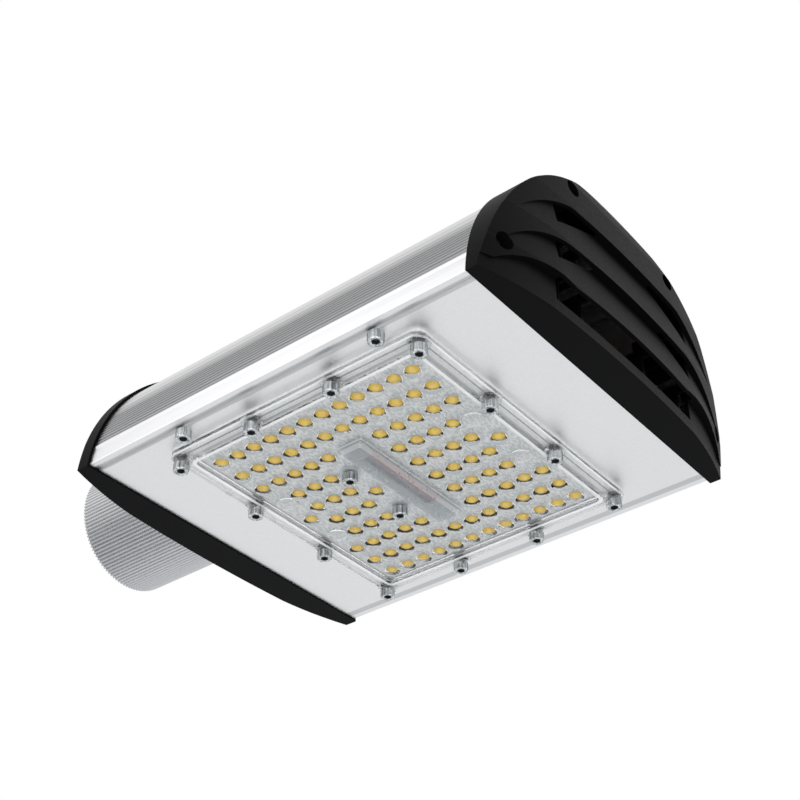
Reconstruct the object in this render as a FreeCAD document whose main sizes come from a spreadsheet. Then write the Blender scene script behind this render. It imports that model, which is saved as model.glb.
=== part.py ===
import FreeCAD, Part
import math
import os

import Sketcher
from FreeCAD import Placement, Rotation, Vector

# LED street light head: an extruded aluminium housing between two moulded caps,
# with a screwed base plate that carries the LED module, and a ribbed pole socket.
# The pieces are drawn about the centre of the base plate's underside: X runs from
# the pole to the louvred cap, Y across, Z up. Every piece is then placed so that
# the origin is the centre of the pole socket's mouth.

doc = FreeCAD.newDocument("StreetLightHead")

# Driving dimensions, millimetres
DIMENSIONS = {
    # housing and its section
    "housing_length": 250,
    "housing_half_width": 109.5,
    "shoulder_half_width": 75.5,
    "shoulder_height": 71.3,
    "crown_height": 102,
    "side_radius": 113.4,
    "housing_wall": 2.6,
    "rib_depth": 0.9,
    "rib_pitch": 2.6,
    "rib_start_height": 14,
    "crown_fin_depth": 1.3,
    "crown_fin_width": 3.2,
    "crown_fin_pitch": 5.2,
    "port_low_inset": 11,
    "port_low_height": 18,
    "port_top_y": 46,
    "port_top_drop": 16,
    "port_radius": 5,
    "rail_width": 9,
    "rail_height": 8,
    "rail_y": 100,
    # base plate
    "plate_half_width": 109.6,
    "plate_thickness": 4,
    "plate_lip": 1,
    "plate_side_gap": 0.4,
    "strip_outer_y": 106.8,
    "strip_inner_y": 102.3,
    "strip_depth": 0.9,
    "hook_reach": 5,
    "hook_height": 4,
    "hook_thickness": 3,
    # LED module
    "column_pitch": 11.61,
    "row_pitch": 15.91,
    "board_length": 142,
    "board_width": 158,
    "board_thickness": 1.6,
    "package_size": 5,
    "package_height": 0.7,
    "phosphor_size": 3.9,
    "phosphor_height": 0.2,
    "gasket_thickness": 1.5,
    "gasket_width": 9,
    "lens_length": 168,
    "lens_width": 185,
    "lens_corner": 6,
    "flange_thickness": 2.6,
    "field_length": 146,
    "field_width": 163,
    "field_drop": 5.2,
    "field_wall": 1.8,
    "lens_rim_drop": 6.2,
    "lens_rim_width": 2.2,
    "dome_width": 9.2,
    "dome_height": 3.2,
    "channel_length": 88,
    "channel_width": 17,
    "channel_height": 3.4,
    "boss_radius": 6.2,
    "boss_y": 21,
    "ear_radius": 6,
    # fasteners
    "m5_radius": 2.5,
    "m5_head_radius": 4.25,
    "m5_head_height": 5,
    "m5_key": 4,
    "m5_key_depth": 2.6,
    "screw_clearance": 0.3,
    "thread_clearance": 0.05,
    "module_screw_length": 10,
    "centre_screw_length": 9,
    "module_seat_drop": 6.3,
    "screw_corner_x": 79,
    "screw_corner_y": 86,
    "screw_side_x": 26.5,
    "screw_side_y": 88.5,
    "screw_end_y": 28.7,
    "centre_screw_x": 18,
    "centre_screw_y": 21.3,
    "plate_screw_x": 64,
    "plate_screw_length": 10,
    "cap_screw_length": 18,
    # caps
    "cap_proud": 1.8,
    "cap_wall": 2.5,
    "cap_floor_drop": 1.3,
    "cap_fit": 0.3,
    "rim_depth": 6,
    "rim_lean": 0.19,
    "bow_middle": 18.8,
    "bow_shoulder_share": 0.56,
    "bow_shoulder_reach": 0.86,
    "rear_dome": 12.5,
    "cap_block_margin": 4,
    "side_middle_height": 32,
    "side_upper_height": 59,
    "louvre_skin": 2.2,
    "louvre_rib": 1.6,
    # louvre tiers, counted from the top: height of the lower edge at the middle
    "tier1_edge_height": 70.5,
    "tier2_edge_height": 43.5,
    "tier3_edge_height": 18,
    "sill_height": 5.5,
    "rib_foot_height": 3,
    "rib_cover": 5.4,
    "tier1_end_height": 24,
    "tier2_end_height": 15,
    "tier3_end_height": 6,
    "tier_end_half_width": 104,
    "tier_flat_half_width": 51,
    "tier_flat_drop": 1.5,
    "tier_proud": 23.8,
    "tier_recess": 18.2,
    "tier_side_recess": 1.6,
    "tier_end_bow": 1.25,
    "crown_start_height": 90,
    "crown_start_reach": 22.4,
    "crown_middle_height": 97,
    "crown_middle_reach": 20.8,
    "crown_top_reach": 17.8,
    "crown_edge_start": 19,
    "crown_edge_step": 1.8,
    "window_half_width": 62,
    "window_inner_y": 15,
    "window1_foot_height": 53,
    "window1_peak_height": 75,
    "window2_foot_height": 30,
    "window2_peak_height": 50,
    # pole socket and its plate
    "socket_axis_height": 46,
    "socket_mouth_x": 216,
    "socket_bore_radius": 31,
    "socket_outer_radius": 39.1,
    "socket_depth": 66,
    "socket_stop_radius": 27,
    "socket_groove_depth": 1.1,
    "socket_groove_half": 0.8,
    "socket_grooves": 112,
    "end_plate_thickness": 4,
    "end_plate_inset": 1.4,
    "socket_screw_circle": 34.6,
    "socket_screw_length": 20,
    "set_screw_radius": 4,
    "set_screw_length": 12,
    "set_screw_from_mouth": 22,
    "set_screw_spacing": 34,
    # gland
    "gland_thread_radius": 8,
    "gland_hex": 22,
    "gland_hex_height": 8,
    "gland_cap_radius": 9.5,
    "gland_cap_height": 9,
    "gland_nut_height": 5,
    "gland_bore_radius": 4.5,
    # driver
    "driver_length": 130,
    "driver_width": 62,
    "driver_height": 38,
    "driver_wall": 2,
    "driver_end_thickness": 3,
    "driver_centre_x": 5,
    "driver_centre_y": -26,
    "driver_foot": 10,
    "driver_screw_inset": 10,
    "driver_screw_length": 5.5,
    # terminal block and leads
    "terminal_x": -84,
    "terminal_length": 22,
    "terminal_width": 46,
    "terminal_height": 18,
    "terminal_pitch": 8,
    "terminal_entry": 4.4,
    "terminal_well_radius": 2.4,
    "terminal_screw_radius": 2.2,
    "terminal_screw_height": 4,
    "terminal_seat": 6,
    "fixing_y": 18,
    "lead_radius": 1.1,
    "lead_spacing": 4.4,
    "lead_drop": 3.2,
    "lead_hole_y": 26,
    "lead_hole_radius": 4,
    "lead_rise": 12,
    "lead_gap": 4,
    "lead_turn": 8,
    "connector_y": -37,
    "connector_length": 8,
    "connector_width": 9,
    "connector_height": 3.6,
}

sheet = doc.addObject("Spreadsheet::Sheet", "Sizes")
for row, (name, number) in enumerate(DIMENSIONS.items(), start=1):
    sheet.set(f"A{row}", name)
    sheet.set(f"B{row}", str(number))
    sheet.setAlias(f"B{row}", name)
doc.recompute()


class Size:
    """A length or number, with the formula of sheet names that gives it."""

    def __init__(self, value, formula):
        self.value = float(value)
        self.formula = formula

    def __add__(self, other):
        other = as_size(other)
        return Size(self.value + other.value, f"({self.formula} + {other.formula})")

    def __sub__(self, other):
        other = as_size(other)
        return Size(self.value - other.value, f"({self.formula} - {other.formula})")

    def __mul__(self, other):
        other = as_size(other)
        return Size(self.value * other.value, f"{self.formula} * {other.formula}")

    def __truediv__(self, other):
        other = as_size(other)
        return Size(self.value / other.value, f"{self.formula} / ({other.formula})")

    def __neg__(self):
        return Size(-self.value, f"(0 - {self.formula})")

    def __radd__(self, other):
        return as_size(other) + self

    def __rsub__(self, other):
        return as_size(other) - self

    def __rmul__(self, other):
        return as_size(other) * self


def as_size(thing):
    return thing if isinstance(thing, Size) else Size(thing, f"({float(thing)!r})")


def root(amount):
    return Size(math.sqrt(amount.value), f"sqrt({amount.formula})")


def cosine(degrees):
    degrees = as_size(degrees)
    return Size(math.cos(math.radians(degrees.value)), f"cos({degrees.formula})")


def sine(degrees):
    degrees = as_size(degrees)
    return Size(math.sin(math.radians(degrees.value)), f"sin({degrees.formula})")


class Sizes:
    """The driving dimensions by name, read from the sheet."""

    def __getattr__(self, name):
        return Size(getattr(sheet, name), f"Sizes.{name}")


d = Sizes()

# Directions of a drawing's own x, y and normal in the part's frame
PLANES = {
    "XY_Plane": (Vector(1, 0, 0), Vector(0, 1, 0), Vector(0, 0, 1)),
    "XZ_Plane": (Vector(1, 0, 0), Vector(0, 0, 1), Vector(0, -1, 0)),
    "YZ_Plane": (Vector(0, 1, 0), Vector(0, 0, 1), Vector(1, 0, 0)),
}


def bind(item, name, amount):
    item.setExpression(name, as_size(amount).formula)


SPOTS = {}


def place(item, x=0, y=0, z=0):
    """Put an object at x, y, z, tied to the sheet."""
    SPOTS[item.Name] = (as_size(x), as_size(y), as_size(z))
    for axis, amount in zip("xyz", SPOTS[item.Name]):
        bind(item, f".Placement.Base.{axis}", amount)


def add_arc(sketch, start, end, radius):
    """An arc from start to end: a positive radius turns left, a negative one right."""
    if radius < 0:
        start, end = end, start
    chord = end - start
    reach = math.sqrt(max(radius * radius - chord.Length ** 2 / 4, 0))
    left = Vector(-chord.y, chord.x, 0).normalize()
    centre = (start + end) / 2 + left * reach
    from_angle = math.atan2(start.y - centre.y, start.x - centre.x)
    to_angle = math.atan2(end.y - centre.y, end.x - centre.x)
    circle = Part.Circle(centre, Vector(0, 0, 1), abs(radius))
    return sketch.addGeometry(Part.ArcOfCircle(circle, from_angle, to_angle), False)


def fix_point(sketch, geometry, end, u, v):
    """Tie one end of a line or arc, or a circle's centre, to two sizes."""
    for kind, amount in (("DistanceX", as_size(u)), ("DistanceY", as_size(v))):
        index = sketch.addConstraint(
            Sketcher.Constraint(kind, -1, 1, geometry, end, amount.value))
        sketch.setExpression(f"Constraints[{index}]", amount.formula)


def fix_radius(sketch, geometry, radius):
    index = sketch.addConstraint(Sketcher.Constraint("Radius", geometry, radius.value))
    sketch.setExpression(f"Constraints[{index}]", radius.formula)


def draw_outline(sketch, corners):
    """Draw a closed outline. A corner is (u, v), or (u, v, radius) when an arc follows."""
    count = len(corners)
    points = [Vector(as_size(c[0]).value, as_size(c[1]).value, 0) for c in corners]
    edges = []
    for index, corner in enumerate(corners):
        start, end = points[index], points[(index + 1) % count]
        if len(corner) == 3:
            radius = as_size(corner[2])
            edge = add_arc(sketch, start, end, radius.value)
            turn = 1 if radius.value > 0 else -1
            fix_radius(sketch, edge, radius * turn)
        else:
            edge = sketch.addGeometry(Part.LineSegment(start, end), False)
            turn = 1
        edges.append((edge, turn))
    for index, (edge, turn) in enumerate(edges):
        following, following_turn = edges[(index + 1) % count]
        last = 2 if turn > 0 else 1
        first = 1 if following_turn > 0 else 2
        sketch.addConstraint(Sketcher.Constraint("Coincident", edge, last, following, first))
        fix_point(sketch, edge, 1 if turn > 0 else 2, corners[index][0], corners[index][1])


def draw_circle(sketch, u, v, radius):
    centre = Vector(as_size(u).value, as_size(v).value, 0)
    circle = sketch.addGeometry(
        Part.Circle(centre, Vector(0, 0, 1), as_size(radius).value), False)
    fix_point(sketch, circle, 3, u, v)
    fix_radius(sketch, circle, as_size(radius))


def rectangle(u0, v0, u1, v1):
    return [(u0, v0), (u1, v0), (u1, v1), (u0, v1)]


def rounded_rectangle(half_u, half_v, corner):
    """A centred rectangle with round corners, drawn leftwards turning."""
    u, v, r = as_size(half_u), as_size(half_v), as_size(corner)
    return [
        (r - u, -v), (u - r, -v, r), (u, r - v), (u, v - r, r),
        (u - r, v), (r - u, v, r), (-u, v - r), (-u, r - v, r),
    ]


# Drawings and solids outside a body

def free_sketch(name, plane, offset=0):
    """A drawing on a plane of the part's frame, moved along the plane's normal."""
    sketch = doc.addObject("Sketcher::SketchObject", name)
    across, up, normal = PLANES[plane]
    sketch.Placement = Placement(Vector(0, 0, 0), Rotation(across, up, normal))
    offset = as_size(offset)
    place(sketch, offset * normal.x, offset * normal.y, offset * normal.z)
    return sketch


def prism(name, plane, offset, length, corners):
    """A closed outline pushed along its plane's normal from the offset."""
    sketch = free_sketch(name + "_outline", plane, offset)
    draw_outline(sketch, corners)
    solid = doc.addObject("Part::Extrusion", name)
    solid.Base = sketch
    solid.DirMode = "Custom"
    solid.Dir = PLANES[plane][2]
    solid.Solid = True
    bind(solid, "LengthFwd", length)
    return solid


def cylinder(name, radius, length, x=0, y=0, z=0, along=Vector(0, 0, 1)):
    solid = doc.addObject("Part::Cylinder", name)
    solid.Placement = Placement(Vector(0, 0, 0), Rotation(Vector(0, 0, 1), along))
    bind(solid, "Radius", radius)
    bind(solid, "Height", length)
    place(solid, x, y, z)
    return solid


def box(name, x0, x1, y0, y1, z0, z1):
    solid = doc.addObject("Part::Box", name)
    bind(solid, "Length", as_size(x1) - x0)
    bind(solid, "Width", as_size(y1) - y0)
    bind(solid, "Height", as_size(z1) - z0)
    place(solid, x0, y0, z0)
    return solid


def fuse(name, pieces):
    joined = doc.addObject("Part::MultiFuse", name)
    joined.Shapes = pieces
    return joined


def cut(name, base, tool):
    result = doc.addObject("Part::Cut", name)
    result.Base = base
    result.Tool = tool
    return result


def common(name, pieces):
    shared = doc.addObject("Part::MultiCommon", name)
    shared.Shapes = pieces
    return shared


# Bodies with sketches and features

def new_body(name):
    return doc.addObject("PartDesign::Body", name)


def body_sketch(body, name, plane, offset=0, origin=(0, 0)):
    """A drawing on one of the body's own planes, with its origin moved there."""
    sketch = body.newObject("Sketcher::SketchObject", name)
    face = next(item for item in body.Origin.OriginFeatures if item.Role == plane)
    sketch.AttachmentSupport = [(face, "")]
    sketch.MapMode = "FlatFace"
    bind(sketch, ".AttachmentOffset.Base.x", origin[0])
    bind(sketch, ".AttachmentOffset.Base.y", origin[1])
    bind(sketch, ".AttachmentOffset.Base.z", offset)
    return sketch


def pad(body, sketch, length, backwards=False):
    feature = body.newObject("PartDesign::Pad", sketch.Name + "_pad")
    feature.Profile = sketch
    feature.Reversed = backwards
    bind(feature, "Length", length)
    return feature


def pocket(body, sketch, length, forwards=True):
    """Cut a drawing into the body, along its normal unless told otherwise."""
    feature = body.newObject("PartDesign::Pocket", sketch.Name + "_pocket")
    feature.Profile = sketch
    feature.Reversed = forwards
    bind(feature, "Length", length)
    return feature


def polar_pattern(body, feature, sketch, angle, count):
    pattern = body.newObject("PartDesign::PolarPattern", feature.Name + "_pattern")
    pattern.Originals = [feature]
    pattern.Axis = (sketch, ["N_Axis"])
    bind(pattern, "Angle", angle)
    pattern.Occurrences = count
    body.Tip = pattern
    return pattern


PARTS = []


def keep(item, label):
    """Name a finished piece and move it so that the origin is the socket's mouth centre."""
    item.Label = label
    x, y, z = SPOTS.get(item.Name, (0, 0, 0))
    place(item, x + d.socket_mouth_x, y, z - d.socket_axis_height)
    PARTS.append(item)
    return item


def group(label, master, places, turns=None):
    """Copies of one solid at several places, kept as separate solids of one piece."""
    doc.recompute()
    turns = turns or [Rotation()] * len(places)
    feature = doc.addObject("Part::Feature", label)
    copies = []
    for spot, turn in zip(places, turns):
        copy = master.Shape.copy()
        move = Placement(Vector(*[as_size(a).value for a in spot]), turn)
        copy.Placement = move.multiply(copy.Placement)
        copies.append(copy)
    feature.Shape = Part.makeCompound(copies)
    return keep(feature, label)


# Section of the housing

def arch(inset, foot):
    """The housing's arched section as corners, set in by an amount all round."""
    inset = as_size(inset)
    rise = d.crown_height - d.shoulder_height
    crown_radius = (d.shoulder_half_width * d.shoulder_half_width + rise * rise) / (2 * rise)
    keep_share = (crown_radius - inset) / crown_radius
    crown_centre = d.crown_height - crown_radius
    shoulder_y = d.shoulder_half_width * keep_share
    shoulder_z = crown_centre + (d.shoulder_height - crown_centre) * keep_share
    foot_y = d.housing_half_width - inset
    return [
        (-foot_y, foot, inset - d.side_radius),
        (-shoulder_y, shoulder_z, inset - crown_radius),
        (shoulder_y, shoulder_z, inset - d.side_radius),
        (foot_y, foot),
    ]


def crown_centre_height():
    rise = d.crown_height - d.shoulder_height
    return d.crown_height - (d.shoulder_half_width * d.shoulder_half_width + rise * rise) / (2 * rise)


def side_arc_centre():
    """Centre of the left side's arc, worked out from its two ends and its radius."""
    foot_y, top_y = -d.housing_half_width, -d.shoulder_half_width
    foot_z, top_z = d.plate_lip, d.shoulder_height
    run, rise = top_y - foot_y, top_z - foot_z
    chord = root(run * run + rise * rise)
    reach = root(d.side_radius * d.side_radius - chord * chord / 4)
    return (foot_y + top_y) / 2 + reach * rise / chord, (foot_z + top_z) / 2 - reach * run / chord


def make_housing():
    """One aluminium extrusion: arched wall, fine side ribs, crown fins, ports and rails."""
    body = new_body("HousingBody")
    start = -d.housing_length / 2
    section = body_sketch(body, "HousingSection", "YZ_Plane", start)
    outer = arch(0, d.plate_lip)
    inner = arch(d.housing_wall, d.plate_lip)
    # the inner line runs back the other way, so each arc moves to the corner before it
    back = [
        (inner[3][0], inner[3][1], -inner[2][2]),
        (inner[2][0], inner[2][1], -inner[1][2]),
        (inner[1][0], inner[1][1], -inner[0][2]),
        (inner[0][0], inner[0][1]),
    ]
    draw_outline(section, outer + back)
    pad(body, section, d.housing_length)

    ports = body_sketch(body, "HousingPorts", "YZ_Plane", start)
    low_y = d.housing_half_width - d.port_low_inset
    top_z = d.crown_height - d.port_top_drop
    web = d.housing_wall / 2
    for side in (-1, 1):
        wall_y = side * (d.housing_half_width - d.port_low_inset / 2 + d.port_radius / 2)
        inner_y = side * (low_y + d.port_radius * 0.8)
        low, high = (wall_y, inner_y) if side < 0 else (inner_y, wall_y)
        draw_outline(ports, rectangle(low, d.port_low_height - web, high, d.port_low_height + web))
    pad(body, ports, d.housing_length)
    bosses = body_sketch(body, "HousingBosses", "YZ_Plane", start)
    holes = body_sketch(body, "HousingPortHoles", "YZ_Plane", start)
    for side in (-1, 1):
        for y, z in ((low_y, d.port_low_height), (d.port_top_y, top_z)):
            draw_circle(bosses, side * y, z, d.port_radius)
            draw_circle(holes, side * y, z, d.m5_radius + d.thread_clearance)
    pad(body, bosses, d.housing_length)

    rails = body_sketch(body, "HousingRails", "YZ_Plane", start)
    screw_rail = d.rail_y - d.rail_width / 2
    in_wall = d.housing_half_width - d.housing_wall / 2
    top = d.plate_thickness + d.rail_height
    draw_outline(rails, rectangle(-in_wall, d.plate_thickness, -screw_rail, top))
    draw_outline(rails, rectangle(
        d.rail_y + d.plate_side_gap, d.plate_thickness + d.plate_side_gap,
        in_wall, d.plate_thickness + d.hook_height))
    pad(body, rails, d.housing_length)
    pocket(body, holes, d.housing_length)

    taps = body_sketch(body, "HousingPlateTaps", "XY_Plane", d.plate_thickness)
    for side in (-1, 1):
        draw_circle(taps, side * d.plate_screw_x, -d.rail_y, d.m5_radius + d.thread_clearance)
    pocket(body, taps, d.rail_height)

    # fine V grooves up both sides, turned about the side arc's centre
    centre = side_arc_centre()
    half = d.rib_pitch / 2
    step = d.rib_pitch / d.side_radius * (180 / math.pi)
    rise = (d.rib_start_height - centre[1]) / d.side_radius
    across = root(1 - rise * rise)
    for side, name in ((-1, "Left"), (1, "Right")):
        grooves = body_sketch(
            body, f"{name}SideGroove", "YZ_Plane", start, (-side * centre[0], centre[1]))
        reach = d.side_radius + d.rib_depth
        deep = d.side_radius - d.rib_depth
        corners = [
            (side * (reach * across), reach * rise - half),
            (side * (deep * across), deep * rise),
            (side * (reach * across), reach * rise + half),
        ]
        draw_outline(grooves, corners)
        first = pocket(body, grooves, d.housing_length)
        pattern = polar_pattern(body, first, grooves, step * (SIDE_GROOVES - 1), SIDE_GROOVES)
        pattern.Reversed = side < 0

    # wider grooves leave low cooling fins along the crown
    zc = crown_centre_height()
    crown_radius = d.crown_height - zc
    first_angle = d.crown_fin_pitch * (CROWN_GROOVES - 1) / 2
    fins = body_sketch(body, "CrownGroove", "YZ_Plane", start, (0, zc))
    direction = (sine(first_angle), cosine(first_angle))
    half = d.crown_fin_width / 2
    low, high = crown_radius - d.crown_fin_depth, crown_radius + d.crown_fin_depth
    draw_outline(fins, [
        (low * direction[0] - half * direction[1], low * direction[1] + half * direction[0]),
        (low * direction[0] + half * direction[1], low * direction[1] - half * direction[0]),
        (high * direction[0] + half * direction[1], high * direction[1] - half * direction[0]),
        (high * direction[0] - half * direction[1], high * direction[1] + half * direction[0]),
    ])
    first = pocket(body, fins, d.housing_length)
    polar_pattern(body, first, fins, d.crown_fin_pitch * (CROWN_GROOVES - 1), CROWN_GROOVES)
    return keep(body, "housing_profile")


SIDE_GROOVES = 9
CROWN_GROOVES = 11


def screw(name, shank_length):
    """A socket head screw along Z: head below its seat at zero, shank above."""
    head = cylinder(name + "_head", d.m5_head_radius, d.m5_head_height, 0, 0, -d.m5_head_height)
    shank = cylinder(name + "_shank", d.m5_radius, shank_length)
    key = doc.addObject("Part::Prism", name + "_key")
    key.Polygon = 6
    bind(key, "Circumradius", d.m5_key / root(as_size(3)))
    bind(key, "Height", d.m5_key_depth)
    place(key, 0, 0, -d.m5_head_height)
    return cut(name, fuse(name + "_blank", [head, shank]), key)


def mirrored(places):
    """Each place and its mirror images in X and Y, each once."""
    found = []
    for x, y in places:
        for sx in (1, -1):
            for sy in (1, -1):
                found.append((sx * as_size(x), sy * as_size(y)))
    return found


def module_screw_places():
    corners = mirrored([(d.screw_corner_x, d.screw_corner_y)])
    sides = mirrored([(d.screw_side_x, d.screw_side_y)])
    ends = mirrored([(d.screw_corner_x, d.screw_end_y)])
    return corners + sides + ends


def centre_screw_places():
    return [(-d.centre_screw_x, -d.centre_screw_y), (-d.centre_screw_x, d.centre_screw_y)]


def plate_screw_places():
    return [(-d.plate_screw_x, -d.rail_y), (d.plate_screw_x, -d.rail_y)]


def make_base_plate():
    """Extruded plate: a lip under the housing, a hooked edge and a bevelled strip."""
    body = new_body("BasePlateBody")
    start = -d.housing_length / 2
    section = body_sketch(body, "PlateSection", "YZ_Plane", start)
    edge = d.plate_half_width
    inside = d.housing_half_width - d.housing_wall - d.plate_side_gap
    hook_outer = d.rail_y + d.hook_reach - d.plate_side_gap
    hook_root = d.rail_y - d.hook_thickness
    hook_under = d.plate_thickness + d.hook_height + d.plate_side_gap
    draw_outline(section, [
        (-edge, 0), (-d.strip_outer_y, 0), (-d.strip_inner_y - d.strip_depth, d.strip_depth),
        (-d.strip_inner_y, 0), (edge, 0), (edge, d.plate_lip), (inside, d.plate_lip),
        (inside, d.plate_thickness), (d.rail_y, d.plate_thickness), (d.rail_y, hook_under),
        (hook_outer, hook_under), (hook_outer, hook_under + d.hook_thickness),
        (hook_root, hook_under + d.hook_thickness), (hook_root, d.plate_thickness),
        (-inside, d.plate_thickness), (-inside, d.plate_lip), (-edge, d.plate_lip),
    ])
    pad(body, section, d.housing_length)
    taps = body_sketch(body, "PlateTaps", "XY_Plane")
    tapped = module_screw_places() + centre_screw_places() + driver_screw_places()
    for x, y in tapped + fixing_places():
        draw_circle(taps, x, y, d.m5_radius + d.thread_clearance)
    for x, y in plate_screw_places():
        draw_circle(taps, x, y, d.m5_radius + d.screw_clearance)
    draw_circle(taps, 0, d.lead_hole_y, d.lead_hole_radius)
    pocket(body, taps, d.plate_thickness + d.hook_height)
    return keep(body, "base_plate")


# LED module

def led_places():
    """Rows and columns of the LEDs: two full bands and a broken field between them."""
    spots = []
    for row in (0, 1, 8, 9):
        spots += [(column, row) for column in range(12)]
    for row in (2, 7):
        spots += [(column, row) for column in range(12) if column not in (5, 6)]
    for row in (3, 4, 5, 6):
        spots += [(column, row) for column in (1, 2, 3, 7, 8, 9, 10)]
    spots += [(column, 4.5) for column in (0, 4, 11)]
    return [((c - 5.5) * d.column_pitch, (r - 4.5) * d.row_pitch) for c, r in spots]


def make_module():
    board = new_body("BoardBody")
    outline = body_sketch(board, "BoardOutline", "XY_Plane")
    draw_outline(outline, rounded_rectangle(d.board_length / 2, d.board_width / 2, 2))
    pad(board, outline, d.board_thickness, backwards=True)
    holes = body_sketch(board, "BoardHoles", "XY_Plane")
    for x, y in centre_screw_places():
        draw_circle(holes, x, y, d.m5_radius + d.screw_clearance)
    draw_circle(holes, 0, d.lead_hole_y, d.lead_hole_radius)
    pocket(board, holes, d.board_thickness, forwards=False)
    keep(board, "led_board")

    half = d.package_size / 2
    top = -d.board_thickness - d.package_height
    package = box("Package", -half, half, -half, half, top, -d.board_thickness)
    half = d.phosphor_size / 2
    phosphor = box("Phosphor", -half, half, -half, half, top - d.phosphor_height, top)
    doc.recompute()
    spots = [(x, y, 0) for x, y in led_places()]
    group("led_packages", package, spots)
    group("led_phosphors", phosphor, spots)


def frustum(name, half_x, half_y, slope, z_low, height):
    """A rectangular block whose sides lean in towards its lower face."""
    sections = []
    for share, level in ((0, z_low + height), (1, z_low)):
        sketch = free_sketch(f"{name}_section{share}", "XY_Plane", level)
        hx, hy = half_x - slope * share, half_y - slope * share
        draw_outline(sketch, rectangle(-hx, -hy, hx, hy))
        sections.append(sketch)
    solid = doc.addObject("Part::Loft", name)
    solid.Sections = sections
    solid.Solid = True
    solid.Ruled = True
    return solid


def make_dome():
    """One low lens dome hanging under the field, with flat facets."""
    sections = []
    for level, share in ((0, 1), (1, 0.45)):
        ring = doc.addObject("Part::RegularPolygon", "DomeRing")
        ring.Polygon = 8
        bind(ring, "Circumradius", d.dome_width / 2 * share)
        place(ring, 0, 0, -d.field_drop - d.dome_height * level)
        sections.append(ring)
    dome = doc.addObject("Part::Loft", "Dome")
    dome.Sections = sections
    dome.Solid = True
    dome.Ruled = True
    return dome


def make_lens():
    """Clear moulded cover: flange, raised rim, thin field with domes and a cable channel."""
    seat = -d.gasket_thickness
    flange_low = seat - d.flange_thickness
    flange = prism("LensFlange", "XY_Plane", flange_low, d.flange_thickness,
                   rounded_rectangle(d.lens_length / 2, d.lens_width / 2, d.lens_corner))
    rim_x = d.field_length / 2 + d.lens_rim_width
    rim_y = d.field_width / 2 + d.lens_rim_width
    rim = prism("LensRim", "XY_Plane", -d.lens_rim_drop, d.lens_rim_drop + seat,
                rounded_rectangle(rim_x, rim_y, d.lens_corner))
    field = prism("LensFieldRecess", "XY_Plane", -d.lens_rim_drop, d.lens_rim_drop - d.field_drop,
                  rounded_rectangle(d.field_length / 2, d.field_width / 2, d.lens_corner / 2))
    ceiling = d.field_drop - d.field_wall
    cavity = prism("LensCavity", "XY_Plane", -ceiling, ceiling + seat,
                   rounded_rectangle(d.field_length / 2, d.field_width / 2, d.lens_corner / 2))
    ears = [cylinder("Ear", d.ear_radius, d.module_seat_drop + seat, x, y, -d.module_seat_drop)
            for x, y in module_screw_places()]
    pillars = [cylinder("Pillar", d.ear_radius, d.field_drop - d.board_thickness,
                        x, y, -d.field_drop) for x, y in centre_screw_places()]
    bosses = [cylinder("LensBoss", d.boss_radius, d.lens_rim_drop - ceiling, x, y, -d.lens_rim_drop)
              for x, y in mirrored([(d.field_length / 2 - d.boss_radius * 1.6, d.boss_y)])]
    drop = d.field_drop + d.channel_height
    channel = frustum("Channel", d.channel_width / 2, d.channel_length / 2,
                      d.channel_height * 0.7, -drop, d.channel_height)
    hollow = frustum("ChannelHollow", d.channel_width / 2 - d.field_wall,
                     d.channel_length / 2 - d.field_wall, d.channel_height * 0.5,
                     d.field_wall - drop, d.channel_height + d.field_wall)
    holes = [cylinder("LensHole", d.m5_radius + d.screw_clearance, drop, x, y, -drop)
             for x, y in module_screw_places() + centre_screw_places()]
    dome = make_dome()
    doc.recompute()
    domes = doc.addObject("Part::Feature", "LensDomes")
    domes.Shape = Part.makeCompound(
        [dome.Shape.translated(Vector(x.value, y.value, 0)) for x, y in led_places()])
    shell = cut("LensShell", fuse("LensOuter", [flange, rim] + ears), field)
    hollowed = cut("LensHollowed", shell, cavity)
    dressed = fuse("LensDressed", [hollowed, channel] + bosses + pillars)
    opened = cut("LensOpened", dressed, fuse("LensHoles", holes + [hollow]))
    return keep(fuse("LensFinished", [opened, domes]), "lens_cover")


def make_gasket():
    body = new_body("GasketBody")
    outline = body_sketch(body, "GasketOutline", "XY_Plane")
    draw_outline(outline, rounded_rectangle(d.lens_length / 2, d.lens_width / 2, d.lens_corner))
    inner_x = d.lens_length / 2 - d.gasket_width
    inner_y = d.lens_width / 2 - d.gasket_width
    draw_outline(outline, rounded_rectangle(inner_x, inner_y, d.lens_corner / 2))
    pad(body, outline, d.gasket_thickness, backwards=True)
    holes = body_sketch(body, "GasketHoles", "XY_Plane")
    for x, y in module_screw_places():
        draw_circle(holes, x, y, d.m5_radius + d.screw_clearance)
    pocket(body, holes, d.gasket_thickness, forwards=False)
    return keep(body, "lens_gasket")


def make_module_screws():
    long_screw = screw("ModuleScrew", d.module_screw_length)
    places = [(x, y, -d.module_seat_drop) for x, y in module_screw_places()]
    group("module_screws", long_screw, places)
    centre_screw = screw("CentreScrew", d.centre_screw_length)
    places = [(x, y, -d.field_drop) for x, y in centre_screw_places()]
    group("centre_screws", centre_screw, places)
    plate_screw = screw("PlateScrew", d.plate_screw_length)
    group("plate_screws", plate_screw, [(x, y, 0) for x, y in plate_screw_places()])


# End caps

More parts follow.
